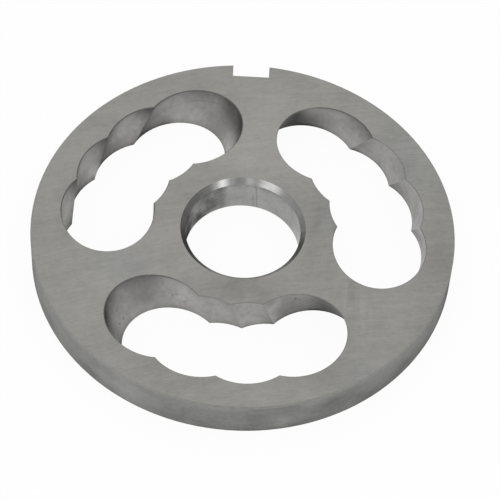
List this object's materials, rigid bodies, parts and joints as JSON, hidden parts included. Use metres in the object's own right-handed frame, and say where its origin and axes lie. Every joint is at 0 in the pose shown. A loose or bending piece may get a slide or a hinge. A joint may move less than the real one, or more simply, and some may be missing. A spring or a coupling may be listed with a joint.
{
  "type": "meat grinder plate",
  "caption": "Flat steel disc with a lead-in hub bore, a key slot in the rim and scalloped kidney-shaped openings drilled on a slant, for coarse cutting.",
  "frame": {"origin": "centre of the hub bore on the lower face", "axes": "+Z along the hub bore, towards the face with the lead-in chamfer; +Y from the bore towards the key slot in the rim"},
  "size_m": [0.114, 0.1138, 0.0115],
  "materials": {
    "ground_steel": "finely ground, matte, with a bright turned lead-in at the hub bore"
  },
  "bodies": {
    "root": {"kidney_plate": "ground_steel"}
  },
  "joints": []
}
